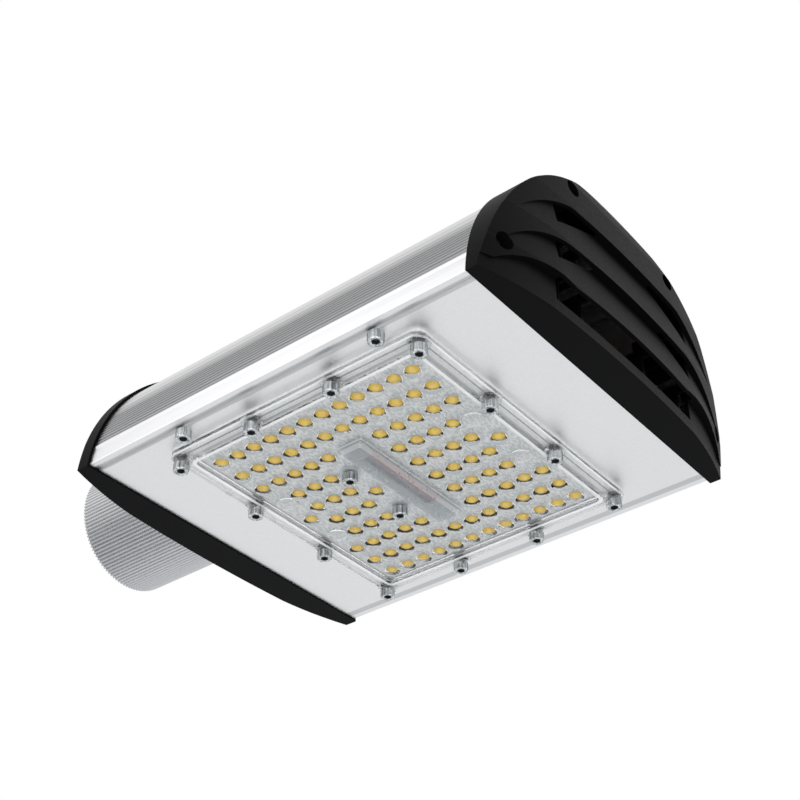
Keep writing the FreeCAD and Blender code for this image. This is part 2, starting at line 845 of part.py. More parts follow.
def tier_block(name, inset, levels):
    """A block that is wide to the rear and bowed at the front, lofted through levels.

    Each level is (height, half width, front at the side, front at the middle)."""
    sections = []
    rear = d.housing_length / 2
    for number, (height, half, side_x, middle_x) in enumerate(levels):
        sketch = free_sketch(f"{name}_level{number}", "XY_Plane", height)
        half, side_x, middle_x = half - inset, side_x - inset, middle_x - inset
        share = d.bow_shoulder_share
        shoulder_y = half * share
        shoulder_x = side_x + (middle_x - side_x) * d.bow_shoulder_reach
        sag = middle_x - shoulder_x
        middle_radius = (shoulder_y * shoulder_y + sag * sag) / (2 * sag)
        run, rise = shoulder_x - side_x, half - shoulder_y
        side_radius = (run * run + rise * rise) / run
        draw_outline(sketch, [
            (rear, -half), (side_x, -half, side_radius), (shoulder_x, -shoulder_y, middle_radius),
            (shoulder_x, shoulder_y, side_radius), (side_x, half), (rear, half),
        ])
        sections.append(sketch)
    block = doc.addObject("Part::Loft", name)
    block.Sections = sections
    block.Solid = True
    block.Ruled = True
    return block


def crown_radius():
    return d.crown_height - crown_centre_height()


def half_at(height, margin):
    """Half width of the caps' outer arch at a height, plus a margin."""
    reach = crown_radius() + d.cap_proud
    rise = height - crown_centre_height()
    return root(reach * reach - rise * rise) + margin


def rim_front(height):
    return d.housing_length / 2 + d.rim_depth + d.rim_lean * height


def front_levels():
    """Levels of the front cap's four blocks, from the sill up to the top tier."""
    middle = d.housing_length / 2
    floor = -d.cap_floor_drop
    low_half = d.housing_half_width + d.cap_proud + 2
    proud, recess = middle + d.tier_proud, middle + d.tier_recess
    crown = d.crown_height + d.cap_proud + 1

    def level(height, front, side_recess=0):
        return (height, half_at(height, d.cap_block_margin), rim_front(height) - side_recess, front)

    def crown_level(height, half, reach):
        return (height, half, middle + reach - 1, middle + reach)

    above_sill = d.tier3_edge_height + 10
    above2 = d.tier2_edge_height + 6
    above1 = d.tier1_edge_height + 7
    return {
        "Sill": [(floor, low_half, rim_front(floor), middle + d.bow_middle),
                 level(above_sill, middle + d.bow_middle - 1)],
        "Tier3": [(as_size(0), low_half, rim_front(0), proud),
                  level(d.tier3_edge_height, proud), level(above2, recess, d.tier_side_recess)],
        "Tier2": [(as_size(0), low_half, rim_front(0), proud),
                  level(d.tier2_edge_height / 2, proud),
                  level(d.tier2_edge_height, proud), level(above1, recess, d.tier_side_recess)],
        "Tier1": [level(d.tier1_end_height - 6, proud), level(d.tier2_edge_height, proud),
                  level(d.tier1_edge_height, proud),
                  crown_level(d.crown_start_height, half_at(d.crown_start_height, 12),
                              d.crown_start_reach),
                  crown_level(d.crown_middle_height, half_at(d.crown_middle_height, 16),
                              d.crown_middle_reach),
                  crown_level(crown, d.port_top_y, d.crown_top_reach)],
    }


def above_edge(name, edge_height, end_height, inset):
    """Everything above a tier's lower edge: flat in the middle, falling to both ends."""
    half, flat = d.tier_end_half_width, d.tier_flat_half_width
    edge, end = edge_height + inset, end_height + inset
    shoulder = edge - d.tier_flat_drop
    flat_radius = (flat * flat + d.tier_flat_drop * d.tier_flat_drop) / (2 * d.tier_flat_drop)
    run, fall = half - flat, shoulder - end
    end_radius = root(run * run + fall * fall) * d.tier_end_bow
    outside = d.housing_half_width + 10
    top = d.crown_height + 10
    return prism(name, "YZ_Plane", d.housing_length / 2, d.tier_proud * 2, [
        (outside, end), (outside, top), (-outside, top), (-outside, end),
        (-half, end, -end_radius), (-flat, shoulder, -flat_radius),
        (flat, shoulder, -end_radius), (half, end),
    ])


def rounded_section(name, inset):
    """The caps' arched section pushed forwards, drawn in by steps where the crown ends."""
    start = d.housing_length / 2
    edge = start + d.crown_edge_start - inset
    step = d.crown_edge_step
    stages = [(start, 0), (edge, 0), (edge + step, 0.4), (edge + step * 2, 1.4),
              (edge + step * 4, 5)]
    sections = []
    for number, (x, drawn_in) in enumerate(stages):
        sketch = free_sketch(f"{name}_stage{number}", "YZ_Plane", x)
        draw_outline(sketch, arch(inset - d.cap_proud + step * drawn_in, inset - d.cap_floor_drop))
        sections.append(sketch)
    solid = doc.addObject("Part::Loft", name)
    solid.Sections = sections
    solid.Solid = True
    solid.Ruled = True
    return solid


def front_cap_form(name, inset):
    """The front cap's outside, or with an inset its hollow."""
    edges = {
        "Tier1": (d.tier1_edge_height, d.tier1_end_height),
        "Tier2": (d.tier2_edge_height, d.tier2_end_height),
        "Tier3": (d.tier3_edge_height, d.tier3_end_height),
    }
    forms = []
    for tier, levels in front_levels().items():
        block = tier_block(name + tier, inset, levels)
        if tier in edges:
            above = above_edge(f"{name}{tier}Above", *edges[tier], inset)
            block = common(f"{name}{tier}Trimmed", [block, above])
        forms.append(block)
    stack = fuse(name + "Stack", forms)
    return common(name, [stack, rounded_section(name + "Section", inset)])


def cap_screw_spots():
    low_y = d.housing_half_width - d.port_low_inset
    top_z = d.crown_height - d.port_top_drop
    return [(side * y, z) for side in (-1, 1)
            for y, z in ((low_y, d.port_low_height), (d.port_top_y, top_z))]


ALONG_X = Vector(1, 0, 0)


def cap_bosses(name, outside, start, seat):
    """Screw bosses inside a cap, trimmed by its outside, and the holes through them."""
    posts, holes = [], []
    reach = d.tier_proud * 2
    recess = d.m5_head_radius + d.screw_clearance * 2
    for y, z in cap_screw_spots():
        posts.append(cylinder(name + "Post", recess + d.cap_wall, reach, start, y, z, ALONG_X))
        holes.append(cylinder(name + "Recess", recess, reach, seat, y, z, ALONG_X))
        holes.append(cylinder(name + "Bore", d.m5_radius + d.screw_clearance,
                              reach, start - 1, y, z, ALONG_X))
    bosses = common(name + "Bosses", [fuse(name + "Posts", posts), outside])
    return bosses, fuse(name + "Holes", holes)


def window(name, foot, peak, block, above):
    """Two wedge openings under a tier's lip, which stop short of the lip's own skin."""
    outer, inner = d.window_half_width, d.window_inner_y
    wedges = []
    for side, corners in ((1, [(inner, peak), (outer, foot), (outer, peak)]),
                          (-1, [(-outer, peak), (-outer, foot), (-inner, peak)])):
        wedges.append(prism(f"{name}Wedge", "YZ_Plane", d.housing_length / 2 + d.cap_wall,
                            d.tier_proud * 2, corners))
    opening = fuse(name + "Wedges", wedges)
    below_lip = cut(name + "BelowLip", opening, above)
    behind_lip = common(name + "BehindLip", [opening, block])
    return [below_lip, behind_lip]


def make_front_cap():
    """Moulded shell of three overlapping louvre tiers over a sill, with windows between."""
    outside = front_cap_form("FrontOutside", as_size(0))
    hollow = front_cap_form("FrontHollow", d.cap_wall)
    start = d.housing_length / 2
    seat = start + d.end_plate_thickness
    shell = cut("FrontShell", outside, hollow)
    flange_outer = prism("FrontFlangeOuter", "YZ_Plane", start, d.louvre_skin,
                         arch(-d.cap_proud, -d.cap_floor_drop))
    flange_inner = prism("FrontFlangeInner", "YZ_Plane", start, d.louvre_skin,
                         arch(d.housing_wall * 2, d.cap_wall))
    flange = cut("FrontFlange", flange_outer, flange_inner)
    bosses, holes = cap_bosses("Front", outside, start, seat)
    levels = front_levels()
    windows = []
    for tier, edge, end, foot, peak in (
            ("Tier1", d.tier1_edge_height, d.tier1_end_height,
             d.window1_foot_height, d.window1_peak_height),
            ("Tier2", d.tier2_edge_height, d.tier2_end_height,
             d.window2_foot_height, d.window2_peak_height)):
        skin = tier_block(f"{tier}Skin", d.louvre_skin, levels[tier])
        above = above_edge(f"{tier}SkinAbove", edge, end, 0)
        windows += window(f"{tier}Window", foot, peak, skin, above)
    skin = tier_block("Tier3Skin", d.louvre_skin, levels["Tier3"])
    mouth = box("MouthOpening", start + d.cap_wall, start + d.tier_proud * 2,
                -d.window_half_width, d.window_half_width,
                d.sill_height, d.tier3_edge_height + d.cap_wall + 1)
    windows.append(common("Tier3Window", [mouth, skin]))
    opened = cut("FrontOpened", shell, fuse("FrontWindows", windows))
    ribs = []
    for y in MOUTH_RIBS:
        ribs.append(box("MouthRib", start, start + d.tier_proud * 2, y - d.louvre_rib / 2,
                        y + d.louvre_rib / 2, d.rib_foot_height,
                        d.tier3_edge_height + d.cap_wall + d.rib_cover))
    for y in TIER_RIBS:
        ribs.append(box("TierRib", start, start + d.tier_proud * 2, y - d.louvre_rib / 2,
                        y + d.louvre_rib / 2, d.window2_foot_height,
                        d.tier2_edge_height + d.cap_wall + d.rib_cover))
    inner_ribs = common("FrontRibs", [fuse("FrontRibPlates", ribs), hollow])
    dressed = fuse("FrontDressed", [opened, flange, bosses, inner_ribs])
    return keep(cut("FrontCap", dressed, holes), "front_cap")


MOUTH_RIBS = (-56, -37, 19, 56)
TIER_RIBS = (-54, -41, 41, 54)


def rear_cap_form(name, inset):
    middle = d.housing_length / 2
    floor = inset - d.cap_floor_drop
    low_half = d.housing_half_width + d.cap_proud + 2
    rim = middle + d.rim_depth + 1
    deep = rim + d.rear_dome
    crown = d.crown_height + d.cap_proud + 1
    levels = [(-d.cap_floor_drop, low_half, rim, deep)]
    for height in (d.port_low_height, d.side_middle_height, d.socket_axis_height,
                   d.side_upper_height):
        levels.append((height, half_at(height, d.cap_block_margin), rim, deep))
    levels += [(d.shoulder_height, half_at(d.shoulder_height, d.cap_block_margin), rim, deep - 2),
               (crown, d.port_top_y, rim, rim + 3)]
    block = tier_block(name + "Block", inset, levels)
    section = prism(name + "Section", "YZ_Plane", middle, d.tier_proud * 2,
                    arch(inset - d.cap_proud, floor))
    return common(name, [block, section])


def to_rear(name, source):
    """The mirror image of a piece at the other end of the housing."""
    mirror = doc.addObject("Part::Mirroring", name)
    mirror.Source = source
    mirror.Base = Vector(0, 0, 0)
    mirror.Normal = ALONG_X
    return mirror


def make_rear_cap():
    """Shallow domed cap over the end plate, open where the pole socket comes out."""
    outside = rear_cap_form("RearOutside", as_size(0))
    hollow = rear_cap_form("RearHollow", d.cap_wall)
    start = d.housing_length / 2
    plate = start + d.end_plate_thickness
    shell = cut("RearShell", outside, hollow)
    bosses, holes = cap_bosses("Rear", outside, plate, plate + 1.5)
    socket = cylinder("SocketHole", d.socket_outer_radius + d.cap_fit * 2, d.tier_proud * 2,
                      start, 0, d.socket_axis_height, ALONG_X)
    body = cut("RearBored", fuse("RearDressed", [shell, bosses]),
               fuse("RearHolesAll", [holes, socket]))
    return keep(to_rear("RearCap", body), "rear_cap")


# Pole socket

def make_end_plate():
    """Plate across the housing's rear end, which carries the socket."""
    start = d.housing_length / 2
    blank = prism("EndPlateBlank", "YZ_Plane", start, d.end_plate_thickness,
                  arch(d.end_plate_inset, d.cap_wall - d.cap_floor_drop))
    holes = [cylinder("EndPlateHole", d.m5_radius + d.screw_clearance, d.end_plate_thickness,
                      start, y, z, ALONG_X) for y, z in cap_screw_spots() + socket_screw_spots()]
    holes.append(cylinder("GlandHole", d.gland_thread_radius + d.screw_clearance, d.end_plate_thickness,
                          start, 0, d.socket_axis_height, ALONG_X))
    plate = cut("EndPlate", blank, fuse("EndPlateHoles", holes))
    return keep(to_rear("RearEndPlate", plate), "rear_end_plate")


def socket_screw_spots():
    share = d.socket_screw_circle / math.sqrt(2)
    return [(sy * share, d.socket_axis_height + sz * share) for sy in (-1, 1) for sz in (-1, 1)]


def make_socket():
    """Finely grooved aluminium tube with a step that stops the pole's end."""
    body = new_body("SocketBody")
    length = d.socket_mouth_x - d.housing_length / 2 - d.end_plate_thickness
    centre = (0, d.socket_axis_height)
    ring = body_sketch(body, "SocketRing", "YZ_Plane", -d.socket_mouth_x, centre)
    draw_circle(ring, 0, 0, d.socket_outer_radius)
    draw_circle(ring, 0, 0, d.socket_stop_radius)
    pad(body, ring, length)
    bore = body_sketch(body, "SocketBore", "YZ_Plane", -d.socket_mouth_x, centre)
    draw_circle(bore, 0, 0, d.socket_bore_radius)
    pocket(body, bore, d.socket_depth)
    groove = body_sketch(body, "SocketGroove", "YZ_Plane", -d.socket_mouth_x, centre)
    half = d.socket_groove_half
    deep = d.socket_outer_radius - d.socket_groove_depth
    brim = d.socket_outer_radius + d.socket_groove_depth * 0.1
    draw_outline(groove, [(-half, brim), (0, deep), (half, brim)])
    first = pocket(body, groove, length)
    polar_pattern(body, first, groove, as_size(360), DIMENSIONS["socket_grooves"])
    taps = body_sketch(body, "SocketTaps", "YZ_Plane",
                       -d.housing_length / 2 - d.end_plate_thickness, centre)
    share = d.socket_screw_circle / math.sqrt(2)
    for sy in (-1, 1):
        for sz in (-1, 1):
            draw_circle(taps, sy * share, sz * share, d.m5_radius + d.thread_clearance)
    pocket(body, taps, d.socket_screw_length, forwards=False)
    across = body_sketch(body, "SetScrewTaps", "XY_Plane", d.socket_axis_height)
    for x in set_screw_x():
        draw_circle(across, x, 0, d.set_screw_radius + d.thread_clearance)
    pocket(body, across, d.socket_outer_radius * 2)
    return keep(body, "spigot_tube")


def set_screw_x():
    first = d.set_screw_from_mouth - d.socket_mouth_x
    return [first, first + d.set_screw_spacing]


def facing(x, y=0, z=0):
    """Turn that points a screw's shank along a direction."""
    return Rotation(Vector(0, 0, 1), Vector(x, y, z))


def make_cap_screws():
    master = screw("CapScrew", d.cap_screw_length)
    front_seat = d.housing_length / 2 + d.end_plate_thickness
    rear_seat = front_seat + REAR_BOSS_FLOOR
    spots = [(front_seat, y, z) for y, z in cap_screw_spots()]
    group("front_cap_screws", master, spots, [facing(-1)] * len(spots))
    spots = [(-rear_seat, y, z) for y, z in cap_screw_spots()]
    group("rear_cap_screws", master, spots, [facing(1)] * len(spots))


REAR_BOSS_FLOOR = 1.5


def make_socket_screws():
    length = d.end_plate_thickness + d.socket_screw_length - 4
    master = screw("SocketScrew", length)
    spots = [(-d.housing_length / 2, y, z) for y, z in socket_screw_spots()]
    group("spigot_screws", master, spots, [facing(-1)] * len(spots))
    shank = cylinder("SetScrewShank", d.set_screw_radius, d.set_screw_length)
    key = doc.addObject("Part::Prism", "SetScrewKey")
    key.Polygon = 6
    bind(key, "Circumradius", d.m5_key / root(as_size(3)))
    bind(key, "Height", d.m5_key_depth)
    place(key, 0, 0, d.set_screw_length - d.m5_key_depth)
    foot = d.socket_axis_height + d.socket_bore_radius
    group("pole_set_screws", cut("SetScrew", shank, key), [(x, 0, foot) for x in set_screw_x()])


def hexagon(name, width, length, x, y, z):
    """A six-sided bar along X, as wide across its flats as given."""
    bar = doc.addObject("Part::Prism", name)
    bar.Polygon = 6
    bar.Placement = Placement(Vector(0, 0, 0), facing(1))
    bind(bar, "Circumradius", width / root(as_size(3)))
    bind(bar, "Height", length)
    place(bar, x, y, z)
    return bar


def make_gland():
    """Cable gland through the end plate, clamped by a nut on the inside."""
    outside = -d.housing_length / 2 - d.end_plate_thickness
    z = d.socket_axis_height
    hex_x = outside - d.gland_hex_height
    nut_x = -d.housing_length / 2
    thread = cylinder("GlandThread", d.gland_thread_radius,
                      d.end_plate_thickness + d.gland_nut_height + 2, outside, 0, z, ALONG_X)
    collar = hexagon("GlandHex", d.gland_hex, d.gland_hex_height, hex_x, 0, z)
    nose = cylinder("GlandNose", d.gland_cap_radius, d.gland_cap_height,
                    hex_x - d.gland_cap_height, 0, z, ALONG_X)
    bore = cylinder("GlandBore", d.gland_bore_radius, d.gland_hex_height * 5,
                    hex_x - d.gland_cap_height, 0, z, ALONG_X)
    keep(cut("CableGland", fuse("GlandBlank", [thread, collar, nose]), bore), "cable_gland")
    blank = hexagon("GlandNutBlank", d.gland_hex, d.gland_nut_height, nut_x, 0, z)
    hole = cylinder("GlandNutBore", d.gland_thread_radius + d.thread_clearance,
                    d.gland_nut_height, nut_x, 0, z, ALONG_X)
    keep(cut("GlandNut", blank, hole), "gland_nut")


# Driver

def driver_ends():
    half = d.driver_length / 2
    return d.driver_centre_x - half, d.driver_centre_x + half


def driver_screw_places():
    low, high = driver_ends()
    reach = d.driver_width / 2 + d.driver_foot / 2
    return [(x, d.driver_centre_y + side * reach) for side in (-1, 1)
            for x in (low + d.driver_screw_inset, high - d.driver_screw_inset)]


def make_driver():
    """Driver: a flanged metal case filled with resin, closed by two end plates."""
    low, high = driver_ends()
    floor, wall = d.plate_thickness, d.driver_wall
    half = d.driver_width / 2
    body = new_body("DriverCaseBody")
    section = body_sketch(body, "DriverSection", "YZ_Plane", low + d.driver_end_thickness,
                          (d.driver_centre_y, floor))
    foot = half + d.driver_foot
    draw_outline(section, [
        (-foot, 0), (foot, 0), (foot, wall), (half, wall), (half, d.driver_height),
        (-half, d.driver_height), (-half, wall), (-foot, wall),
    ])
    draw_outline(section, rectangle(wall - half, wall, half - wall, d.driver_height - wall))
    pad(body, section, d.driver_length - d.driver_end_thickness * 2)
    holes = body_sketch(body, "DriverFootHoles", "XY_Plane", floor)
    for x, y in driver_screw_places():
        draw_circle(holes, x, y, d.m5_radius + d.screw_clearance)
    pocket(body, holes, wall)
    keep(body, "driver_case")
    y0, y1 = d.driver_centre_y - half, d.driver_centre_y + half
    inside_low, inside_high = low + d.driver_end_thickness, high - d.driver_end_thickness
    for label, x0, x1 in (("driver_end_rear", low, inside_low),
                          ("driver_end_front", inside_high, high)):
        keep(box(label, x0, x1, y0, y1, floor, floor + d.driver_height), label)
    keep(box("DriverPotting", inside_low, inside_high, y0 + wall, y1 - wall,
             floor + wall, floor + d.driver_height - wall), "driver_potting")
    master = screw("DriverScrew", d.driver_screw_length)
    spots = [(x, y, floor + wall) for x, y in driver_screw_places()]
    group("driver_screws", master, spots, [facing(0, 0, -1)] * len(spots))


# Terminal block and leads

def terminal_rows():
    return [d.driver_centre_y + step * d.terminal_pitch for step in (-1, 0, 1)]


def fixing_places():
    return [(d.terminal_x, d.driver_centre_y + side * d.fixing_y) for side in (-1, 1)]


def make_terminals():
    """Three-way terminal block with clamp screws and two fixing screws."""
    floor = d.plate_thickness
    half_x, half_y = d.terminal_length / 2, d.terminal_width / 2
    y = d.driver_centre_y
    top = floor + d.terminal_height
    blank = box("TerminalBlank", d.terminal_x - half_x, d.terminal_x + half_x,
                y - half_y, y + half_y, floor, top)
    tools = []
    entry = d.terminal_entry / 2
    height = floor + d.terminal_seat
    for row in terminal_rows():
        tools.append(box("TerminalEntry", d.terminal_x - half_x, d.terminal_x + half_x,
                         row - entry, row + entry, height - entry, height + entry))
        tools.append(cylinder("TerminalWell", d.terminal_well_radius, top - height,
                              d.terminal_x, row, height))
    seat = floor + d.terminal_seat
    for x, spot_y in fixing_places():
        tools.append(cylinder("FixingRecess", d.m5_head_radius + d.cap_fit, d.terminal_height,
                              x, spot_y, seat))
        tools.append(cylinder("FixingBore", d.m5_radius + d.screw_clearance, d.terminal_height,
                              x, spot_y, floor))
    keep(cut("TerminalBlock", blank, fuse("TerminalTools", tools)), "terminal_block")
    shank = cylinder("TerminalScrewShank", d.terminal_screw_radius, d.terminal_screw_height)
    slot = box("TerminalSlot", -d.terminal_screw_radius, d.terminal_screw_radius, -0.4, 0.4,
               d.terminal_screw_height - 1, d.terminal_screw_height)
    clamp_z = height + d.lead_radius
    group("terminal_screws", cut("TerminalScrew", shank, slot),
          [(d.terminal_x, row, clamp_z) for row in terminal_rows()])
    master = screw("FixingScrew", d.terminal_seat + d.plate_thickness - 0.5)
    spots = [(x, spot_y, seat) for x, spot_y in fixing_places()]
    group("terminal_fixings", master, spots, [facing(0, 0, -1)] * len(spots))
    start = d.terminal_x
    end = driver_ends()[0]
    for label, row in zip(("lead_live", "lead_neutral", "lead_earth"), terminal_rows()):
        lead = cylinder(label, d.lead_radius, end - start, start, row, height, ALONG_X)
        keep(lead, label)


def lead_path(label, points):
    """A round lead along a path of straight runs, each along X, Y or Z."""
    pieces = []
    for start, end in zip(points, points[1:]):
        gaps = [as_size(b) - a for a, b in zip(start, end)]
        axis = max(range(3), key=lambda i: abs(gaps[i].value))
        direction = Vector(*[float(i == axis) for i in range(3)])
        forwards = gaps[axis].value > 0
        length = gaps[axis] if forwards else -gaps[axis]
        spot = start if forwards else end
        pieces.append(cylinder(label + "_run", d.lead_radius, length, *spot, direction))
    for corner in points[1:-1]:
        bend = doc.addObject("Part::Sphere", label + "_bend")
        bind(bend, "Radius", d.lead_radius)
        place(bend, *corner)
        pieces.append(bend)
    return keep(fuse(label, pieces), label)


def make_led_leads():
    """Connector on the board, and two leads through the plate to the driver's front end."""
    under = -d.board_thickness
    half = d.connector_width / 2
    start_y = d.connector_y + d.connector_length
    keep(box("LeadConnector", -half, half, d.connector_y, start_y,
             under - d.connector_height, under), "lead_connector")
    front = driver_ends()[1]
    turn_x = front + d.lead_turn
    for label, side, rise in (("lead_red", 1, d.lead_rise),
                              ("lead_black", -1, d.lead_rise + d.lead_gap)):
        x = side * d.lead_spacing / 2
        top = d.plate_thickness + rise
        lead_path(label, [
            (x, start_y, -d.lead_drop), (x, d.lead_hole_y, -d.lead_drop),
            (x, d.lead_hole_y, top), (turn_x, d.lead_hole_y, top),
            (turn_x, d.driver_centre_y, top), (front, d.driver_centre_y, top),
        ])


make_housing()
make_base_plate()
make_module()
make_lens()
make_gasket()
make_module_screws()
make_front_cap()
make_rear_cap()
make_end_plate()
make_socket()
make_cap_screws()
make_socket_screws()
make_gland()
make_driver()
make_terminals()
make_led_leads()
doc.recompute()

faulty = [item.Label for item in doc.Objects
          if "Invalid" in item.State or "Error" in item.State]
if faulty:
    raise RuntimeError(f"objects that did not rebuild: {faulty}")
os.makedirs("parts", exist_ok=True)
for item in PARTS:
    shape = item.Shape
    if shape.isNull() or not shape.isValid() or not shape.Solids:
        raise RuntimeError(f"{item.Label} has no sound solid")
    size = shape.BoundBox
    print(f"{item.Label}: {len(shape.Solids)} solids, {shape.Volume:.0f} mm3, "
          f"{size.XMin:.1f}..{size.XMax:.1f} {size.YMin:.1f}..{size.YMax:.1f} "
          f"{size.ZMin:.1f}..{size.ZMax:.1f}")
    shape.exportStep(f"parts/{item.Label}.step")
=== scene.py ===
import math

import bpy
import bmesh
from mathutils import Matrix, Vector


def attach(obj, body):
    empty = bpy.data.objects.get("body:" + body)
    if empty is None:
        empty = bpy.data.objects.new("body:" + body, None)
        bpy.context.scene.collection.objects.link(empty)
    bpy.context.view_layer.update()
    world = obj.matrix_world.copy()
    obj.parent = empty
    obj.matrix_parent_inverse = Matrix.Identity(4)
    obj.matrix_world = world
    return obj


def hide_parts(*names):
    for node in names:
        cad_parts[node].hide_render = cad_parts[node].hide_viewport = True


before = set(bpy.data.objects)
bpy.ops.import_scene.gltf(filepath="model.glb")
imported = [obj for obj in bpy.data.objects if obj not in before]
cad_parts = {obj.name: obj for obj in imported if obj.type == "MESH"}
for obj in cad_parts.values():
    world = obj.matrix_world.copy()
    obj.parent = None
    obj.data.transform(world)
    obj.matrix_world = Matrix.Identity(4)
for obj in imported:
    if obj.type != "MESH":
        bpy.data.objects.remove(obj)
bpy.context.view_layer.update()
MM = 0.001

# Where the plate's underside lies in the frame, in millimetres: the drawing's own centre
PLATE = Vector((216.0, 0.0, -46.0))


def at(x, y, z):
    """A point of the drawing, in millimetres about the plate's underside, in metres."""
    return (PLATE + Vector((x, y, z))) * MM


# Materials

ROUGH_SPREAD = 0.06


def new_material(name):
    material = bpy.data.materials.new(name)
    material.use_nodes = True
    tree = material.node_tree
    tree.nodes.clear()
    out = tree.nodes.new("ShaderNodeOutputMaterial")
    shader = tree.nodes.new("ShaderNodeBsdfPrincipled")
    tree.links.new(shader.outputs["BSDF"], out.inputs["Surface"])
    return material, tree, shader


def node(tree, kind, **values):
    item = tree.nodes.new(kind)
    for name, value in values.items():
        if name in item.inputs:
            item.inputs[name].default_value = value
        else:
            setattr(item, name, value)
    return item


def stretched_noise(tree, scale, stretch):
    """Noise in the object's own coordinates, drawn out along the axes by the stretch."""
    coords = node(tree, "ShaderNodeTexCoord")
    mapping = node(tree, "ShaderNodeMapping")
    mapping.inputs["Scale"].default_value = stretch
    noise = node(tree, "ShaderNodeTexNoise", Scale=scale, Detail=4.0, Roughness=0.55)
    tree.links.new(coords.outputs["Object"], mapping.inputs["Vector"])
    tree.links.new(mapping.outputs["Vector"], noise.inputs["Vector"])
    return noise


def ramp(tree, source, low, high, color_low, color_high):
    item = tree.nodes.new("ShaderNodeValToRGB")
    item.color_ramp.elements[0].position = low
    item.color_ramp.elements[0].color = color_low
    item.color_ramp.elements[1].position = high
    item.color_ramp.elements[1].color = color_high
    tree.links.new(source, item.inputs["Fac"])
    return item


def grey(value):
    return (value, value, value, 1.0)


def range_map(tree, source, low, high):
    """The noise's middle range, spread between two values."""
    item = node(tree, "ShaderNodeMapRange")
    item.inputs["From Min"].default_value = 0.3
    item.inputs["From Max"].default_value = 0.7
    item.inputs["To Min"].default_value = low
    item.inputs["To Max"].default_value = high
    tree.links.new(source, item.inputs["Value"])
    return item


def add_bump(tree, shader, source, strength, distance):
    bump = node(tree, "ShaderNodeBump", Strength=strength, Distance=distance)
    tree.links.new(source, bump.inputs["Height"])
    tree.links.new(bump.outputs["Normal"], shader.inputs["Normal"])


def mottle(tree, shader, noise, tint, variation, edge, rough_low, rough_high):
    """Colour and roughness that follow the noise. The edge is how soft the mottling is."""
    darker = tuple(c * (1 - variation) for c in tint) + (1,)
    lighter = tuple(min(1.0, c * (1 + variation)) for c in tint) + (1,)
    colour = ramp(tree, noise.outputs["Fac"], 0.5 - edge, 0.5 + edge, darker, lighter)
    tree.links.new(colour.outputs["Color"], shader.inputs["Base Color"])
    rough = range_map(tree, noise.outputs["Fac"], rough_low, rough_high)
    tree.links.new(rough.outputs["Result"], shader.inputs["Roughness"])


def metal(name, tint, rough_low, rough_high, stretch, scale=60.0, variation=0.06, bump=0.15):
    material, tree, shader = new_material(name)
    shader.inputs["Metallic"].default_value = 1.0
    noise = stretched_noise(tree, scale, stretch)
    mottle(tree, shader, noise, tint, variation, 0.2, rough_low, rough_high)
    add_bump(tree, shader, noise.outputs["Fac"], bump, 0.0002)
    return material


def plastic(name, tint, rough, variation=0.1, scale=900.0, stretch=(1, 1, 1), specular=0.5,
            edge=0.2):
    material, tree, shader = new_material(name)
    shader.inputs["Specular IOR Level"].default_value = specular
    noise = stretched_noise(tree, scale, stretch)
    mottle(tree, shader, noise, tint, variation, edge, rough - ROUGH_SPREAD, rough + ROUGH_SPREAD)
    add_bump(tree, shader, noise.outputs["Fac"], 0.1, 0.0001)
    return material


def add_painted_bands(material, axis, stops):
    """Painted light and shade as bands along an axis of the frame, the same on both sides for Y.
    Stops are (mm, shade).
    """
    tree = material.node_tree
    shader = next(item for item in tree.nodes if item.type == "BSDF_PRINCIPLED")
    coords = node(tree, "ShaderNodeTexCoord")
    parts = node(tree, "ShaderNodeSeparateXYZ")
    tree.links.new(coords.outputs["Object"], parts.inputs["Vector"])
    place = parts.outputs[axis]
    if axis == "Y":
        both = node(tree, "ShaderNodeMath", operation="ABSOLUTE")
        tree.links.new(place, both.inputs[0])
        place = both.outputs[0]
    scaled = node(tree, "ShaderNodeMapRange")
    scaled.inputs["From Min"].default_value = stops[0][0] * MM
    scaled.inputs["From Max"].default_value = stops[-1][0] * MM
    tree.links.new(place, scaled.inputs["Value"])
    bands = tree.nodes.new("ShaderNodeValToRGB")
    span = stops[-1][0] - stops[0][0]
    elements = bands.color_ramp.elements
    elements[0].color, elements[1].color = grey(stops[0][1]), grey(stops[-1][1])
    for stop, shade in stops[1:-1]:
        elements.new((stop - stops[0][0]) / span).color = grey(shade)
    tree.links.new(scaled.outputs["Result"], bands.inputs["Fac"])
    mixed = node(tree, "ShaderNodeMix", data_type="RGBA", blend_type="MULTIPLY")
    mixed.inputs["Factor"].default_value = 1.0
    source = shader.inputs["Base Color"].links[0].from_socket
    tree.links.new(source, mixed.inputs["A"])
    tree.links.new(bands.outputs["Color"], mixed.inputs["B"])
    tree.links.new(mixed.outputs["Result"], shader.inputs["Base Color"])


